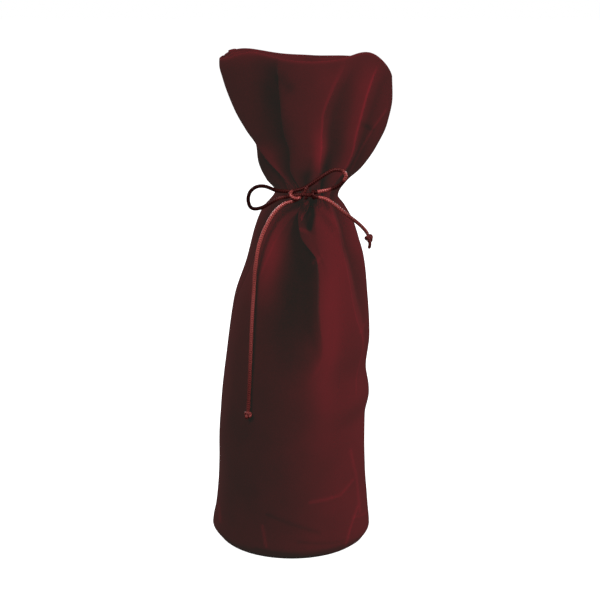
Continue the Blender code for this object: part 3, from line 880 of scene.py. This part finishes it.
class BAG_OT_facing(bpy.types.Operator):
    """Adds the velvet turned in at the mouth, with the cord's channel behind it"""

    bl_idname = "gift_bag.facing"
    bl_label = "Velvet facing"

    def execute(self, context):
        settings = context.scene.gift_bag
        velvet = get_material("cotton_velvet_turned_in", settings)
        thickness = settings.velvet_thickness / MM
        rows = np.concatenate([np.linspace(FACING_FOOT, 300, 30)[:-1], np.linspace(300, 375.4, 40)])
        close, open_channel = thickness + 0.25, thickness + settings.cord_diameter / MM + 0.8
        depth = open_channel + (close - open_channel) * smoothstep(6, 16, abs(rows - TIE))
        gap = FACING_GAP / FLAT_ROUND
        for side, start in (("front", 0.0), ("back", 0.5)):
            around = even_columns(start + gap, start + 0.5 - gap, FACING_COLUMNS)
            points, _ = wall_surface(around, rows)
            away = normals_of(points, 6)
            outside = points - away * depth[:, None, None]
            inside = outside - away * thickness * 0.8
            nap = np.full(outside.shape[:2], TURNED_IN_NAP)
            made = cloth_shell(f"facing_{side}", outside, inside, velvet, nap=nap)
            belongs(made, "facing", "bag", f"{side}_facing")
        return {"FINISHED"}


def disc_shell(name, outline_height, inset, low, high, material, edge):
    """A flat round plate: rings of the base's outline from its middle out, over a rounded edge and back."""
    left, right = eased(LEFT_EDGE, outline_height) + inset, eased(RIGHT_EDGE, outline_height) - inset
    depth = eased(HALF_DEPTH, outline_height) - inset
    shares = np.linspace(0.02, 1, 22)
    bend = np.linspace(-np.pi / 2, np.pi / 2, 7)
    flat = 1 - edge / depth
    reach = np.concatenate([shares * flat, flat + np.cos(bend) * edge / depth, shares[::-1] * flat])
    half = (high - low) / 2
    lift = np.concatenate([np.full(22, low), (low + high) / 2 + np.sin(bend) * half, np.full(22, high)])
    turn = 2 * np.pi * np.arange(DISC_SIDES) / DISC_SIDES
    x = (left + right) / 2 + reach[:, None] * (right - left) / 2 * np.cos(turn)
    y = reach[:, None] * depth * np.sin(turn)
    z = lift[:, None] + 0 * x
    rings = np.stack([x, y, z], -1)
    count, sides = rings.shape[:2]
    faces = np.concatenate([ring_faces(count, sides), end_caps(count, sides)])
    return lay_mesh(name, rings, faces, material, nap=np.full(rings.shape[:2], TURNED_IN_NAP))


class BAG_OT_base(bpy.types.Operator):
    """Adds the round velvet base and the stiff board that lies on it"""

    bl_idname = "gift_bag.base"
    bl_label = "Base and board"

    def execute(self, context):
        settings = context.scene.gift_bag
        velvet = get_material("cotton_velvet_cut_pile", settings)
        board = get_material("grey_board_pressed", settings)
        made = disc_shell("velvet_base", 0.0, 0.6, 0.0, 2.0, velvet, 1.0)
        belongs(made, "velvet", "bag", "base_panel")
        made = disc_shell("base_stiffener", 0.0, 4.4, 2.2, 3.7, board, 0.5)
        belongs(made, "board", "bag", "base_board")
        return {"FINISHED"}


def stitch_row(name, path, away, settings, thread):
    """Machine stitches along a path: small capsules a stitch apart, each sunk at both its ends."""
    length = settings.stitch_length / MM
    wide = settings.thread_diameter / MM
    along = np.concatenate([[0], np.cumsum(np.linalg.norm(np.diff(path, axis=0), axis=1))])
    count = int(along[-1] / length)
    middle = (np.arange(count) + 0.5) * along[-1] / count
    centre, ahead, out = (
        np.stack([np.interp(middle + shift, along, field[:, i]) for i in range(3)], -1)
        for shift, field in ((0, path), (0.4, path), (0, away))
    )
    ahead, out = unit(ahead - centre), unit(out)
    across = np.cross(ahead, out)
    rings, sides = 7, 6
    share = np.linspace(-1, 1, rings)
    radius = wide / 2 * np.sqrt(np.clip(1 - share**4, 0.02, 1))
    turn = 2 * np.pi * np.arange(sides) / sides
    lengthwise = np.repeat(share * length * 0.42, sides)
    sideways = np.outer(radius, np.cos(turn)).ravel()
    upward = np.outer(radius, np.sin(turn)).ravel() - np.repeat(share**2 * wide * 0.5, sides)
    points = (
        centre[:, None]
        + lengthwise[None, :, None] * ahead[:, None]
        + sideways[None, :, None] * across[:, None]
        + upward[None, :, None] * out[:, None]
    )
    faces = np.concatenate([ring_faces(rings, sides), end_caps(rings, sides)])
    every = (faces[None] + rings * sides * np.arange(count)[:, None, None]).reshape(-1, 4)
    return belongs(lay_mesh(f"{name}_stitches", points, every, thread), "thread", "bag", name)


class BAG_OT_stitching(bpy.types.Operator):
    """Adds the stitches of the side seams, the base seam and the cord's channel"""

    bl_idname = "gift_bag.stitching"
    bl_label = "Stitching"

    def execute(self, context):
        settings = context.scene.gift_bag
        thread = get_material("polyester_sewing_thread_spun", settings)
        inside = settings.velvet_thickness / MM + 0.2
        heights = np.linspace(8, 256, 200)
        for name, place in (("left_seam_thread", 0.004), ("right_seam_thread", 0.496)):
            points, _ = wall_surface(place + np.array([-0.002, 0.0, 0.002]), heights)
            away = normals_of(points, 2)[:, 1]
            stitch_row(name, points[:, 1] - away * inside, -away, settings, thread)
        around = np.linspace(0, 1, 400)
        points, _ = wall_surface(around, np.array([5.5, 6.5, 7.5]))
        away = normals_of(points, 1)[1]
        stitch_row("base_seam_thread", points[1] - away * inside, -away, settings, thread)
        around = np.linspace(0, 1, 1400)
        for name, way in (("upper_channel_thread", 1), ("lower_channel_thread", -1)):
            points, _ = wall_surface(around, TIE + way * CHANNEL_HALF + np.array([-0.8, 0.0, 0.8]))
            away = normals_of(points, 2)[1]
            stitch_row(name, points[1] - away * CHANNEL_STITCH_DEPTH, away, settings, thread)
        return {"FINISHED"}


class BAG_OT_stage(bpy.types.Operator):
    """Adds the pale floor and the soft studio lights"""

    bl_idname = "gift_bag.stage"
    bl_label = "Floor and lights"

    def execute(self, context):
        scene = context.scene
        scene.view_settings.view_transform = "Standard"
        made, tree = new_material("matt_white_paper")
        surface = node(
            tree,
            "ShaderNodeBsdfPrincipled",
            {
                "Base Color": (0.5, 0.5, 0.5, 1),
                "Roughness": 0.9,
                "Emission Color": (1, 1, 1, 1),
                "Emission Strength": 1.0,
            },
        )
        node(tree, "ShaderNodeOutputMaterial", {"Surface": surface.outputs["BSDF"]})
        corners = [(x * 6e3, y * 6e3, 0) for x, y in ((-1, -1), (1, -1), (1, 1), (-1, 1))]
        floor = lay_mesh("floor", corners, [(0, 1, 2, 3)], made)
        floor.visible_diffuse = False
        floor.visible_glossy = False

        world = bpy.data.worlds.new("studio")
        scene.world = world
        world.use_nodes = True
        tree = world.node_tree
        tree.nodes.clear()
        seen = node(tree, "ShaderNodeLightPath").outputs["Is Camera Ray"]
        dim = node(tree, "ShaderNodeBackground", {"Color": (1, 1, 1, 1), "Strength": 0.05})
        white = node(tree, "ShaderNodeBackground", {"Color": (1, 1, 1, 1), "Strength": 1.0})
        both = node(tree, "ShaderNodeMixShader", {"Fac": seen, 1: dim.outputs[0], 2: white.outputs[0]})
        node(tree, "ShaderNodeOutputWorld", {"Surface": both.outputs[0]})

        for name, place, size, power in (
            ("key", (-0.55, -1.25, 1.35), 0.8, 23.0),
            ("side", (1.35, -0.7, 0.9), 0.6, 13.5),
            ("top", (0.0, 0.3, 2.2), 1.4, 5.5),
            ("back left", (-1.1, 1.5, 0.9), 0.8, 16.0),
            ("back right", (1.2, 1.4, 0.7), 0.8, 14.0),
        ):
            data = bpy.data.lights.new(name, "AREA")
            data.shape = "DISK"
            data.size = size
            data.energy = power
            light = bpy.data.objects.new(name, data)
            light.location = place
            aim = Vector((0, 0, 0.2)) - Vector(place)
            light.rotation_euler = aim.to_track_quat("-Z", "Y").to_euler()
            scene.collection.objects.link(light)
        return {"FINISHED"}


OPERATORS = (
    BAG_OT_camera, BAG_OT_cords, BAG_OT_knot, BAG_OT_wall, BAG_OT_facing, BAG_OT_base, BAG_OT_stitching,
    BAG_OT_stage,
)


class BAG_PT_panel(bpy.types.Panel):
    """Lists the bag's pieces"""

    bl_idname = "BAG_PT_panel"
    bl_label = "Velvet wine gift bag"
    bl_space_type = "VIEW_3D"
    bl_region_type = "UI"
    bl_category = "Gift bag"

    def draw(self, context):
        for label in BagSettings.__annotations__:
            self.layout.prop(context.scene.gift_bag, label)
        for operator in OPERATORS:
            self.layout.operator(operator.bl_idname)


CLASSES = (BagSettings, *OPERATORS, BAG_PT_panel)


def register():
    for cls in CLASSES:
        bpy.utils.register_class(cls)
    bpy.types.Scene.gift_bag = bpy.props.PointerProperty(type=BagSettings)


def unregister():
    del bpy.types.Scene.gift_bag
    for cls in reversed(CLASSES):
        bpy.utils.unregister_class(cls)


def main():
    register()
    for operator in OPERATORS:
        group, name = operator.bl_idname.split(".")
        getattr(getattr(bpy.ops, group), name)()
    bpy.context.view_layer.update()


if __name__ == "__main__":
    main()
